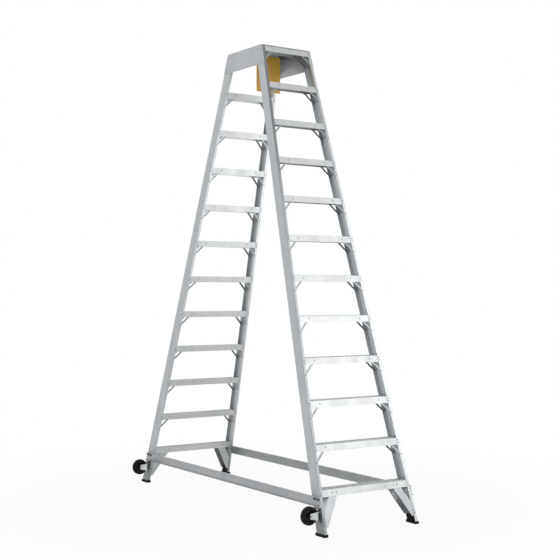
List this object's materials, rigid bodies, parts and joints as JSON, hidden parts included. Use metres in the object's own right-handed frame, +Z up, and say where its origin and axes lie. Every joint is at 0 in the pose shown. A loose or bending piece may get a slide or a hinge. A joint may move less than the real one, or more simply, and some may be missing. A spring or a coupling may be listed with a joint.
{
  "type": "double-sided step ladder",
  "caption": "Tall free-standing double-sided step ladder with channel rails, ribbed steps, riveted knee braces, base tie bars, rubber shoes and a pair of tilt-and-roll wheels on one side.",
  "frame": {"origin": "middle of the whole footprint on the floor, wheels included", "axes": "+Z up, +X towards the front section, -Y towards the wheeled side"},
  "size_m": [2.632, 0.9632, 3.5064],
  "materials": {
    "rail_aluminium": "mill-finish extruded channel",
    "step_aluminium": "mill-finish ribbed extrusion",
    "strap_aluminium": "mill-finish strap",
    "plate_aluminium": "mill-finish sheet",
    "bar_aluminium": "mill-finish channel",
    "rivet_aluminium": "plain rivet",
    "shoe_rubber": "matt black rubber",
    "tyre_rubber": "matt black rubber",
    "hub_plastic": "matt black plastic",
    "bracket_steel": "bright zinc plating",
    "bolt_steel": "dull zinc plating",
    "sign_paint": "plain yellow paint"
  },
  "bodies": {
    "ladder_frame": {"front_near_rail": "rail_aluminium", "front_far_rail": "rail_aluminium", "rear_near_rail": "rail_aluminium", "rear_far_rail": "rail_aluminium", "front_step_01": "step_aluminium", "rear_step_01": "step_aluminium", "front_step_02": "step_aluminium", "rear_step_02": "step_aluminium", "front_step_03": "step_aluminium", "rear_step_03": "step_aluminium", "front_step_04": "step_aluminium", "rear_step_04": "step_aluminium", "front_step_05": "step_aluminium", "rear_step_05": "step_aluminium", "front_step_06": "step_aluminium", "rear_step_06": "step_aluminium", "front_step_07": "step_aluminium", "rear_step_07": "step_aluminium", "front_step_08": "step_aluminium", "rear_step_08": "step_aluminium", "front_step_09": "step_aluminium", "rear_step_09": "step_aluminium", "front_step_10": "step_aluminium", "rear_step_10": "step_aluminium", "front_step_11": "step_aluminium", "rear_step_11": "step_aluminium", "front_step_12": "step_aluminium", "rear_step_12": "step_aluminium", "front_knee_braces": "strap_aluminium", "rear_knee_braces": "strap_aluminium", "base_struts": "strap_aluminium", "front_near_shoe": "shoe_rubber", "front_far_shoe": "shoe_rubber", "rear_near_shoe": "shoe_rubber", "rear_far_shoe": "shoe_rubber", "deck_plate": "plate_aluminium", "near_side_plate": "plate_aluminium", "far_side_plate": "plate_aluminium", "near_base_bar": "bar_aluminium", "far_base_bar": "bar_aluminium", "front_wheel_bracket": "bracket_steel", "rear_wheel_bracket": "bracket_steel", "front_wheel_axle": "bracket_steel", "rear_wheel_axle": "bracket_steel", "axle_nuts": "bracket_steel", "base_bar_bolts": "bolt_steel", "bracket_bolts": "bracket_steel", "bolt_nuts": "bolt_steel", "step_rivets": "rivet_aluminium", "brace_rivets": "rivet_aluminium", "strut_rivets": "rivet_aluminium", "side_plate_rivets": "rivet_aluminium", "deck_rivets": "rivet_aluminium", "sign_plate": "sign_paint", "sign_hanger": "plate_aluminium", "sign_rivets": "rivet_aluminium"},
    "front_wheel": {"front_wheel_tyre": "tyre_rubber", "front_wheel_hub": "hub_plastic"},
    "rear_wheel": {"rear_wheel_tyre": "tyre_rubber", "rear_wheel_hub": "hub_plastic"}
  },
  "joints": [
    {"name": "front_wheel_spin", "type": "hinge", "parent": "ladder_frame", "child": "front_wheel", "pos_m": [1.22649, -0.41812, 0.14014], "axis": [1, 0, 0], "continuous": true},
    {"name": "rear_wheel_spin", "type": "hinge", "parent": "ladder_frame", "child": "rear_wheel", "pos_m": [-1.22649, -0.41812, 0.14014], "axis": [1, 0, 0], "continuous": true}
  ]
}
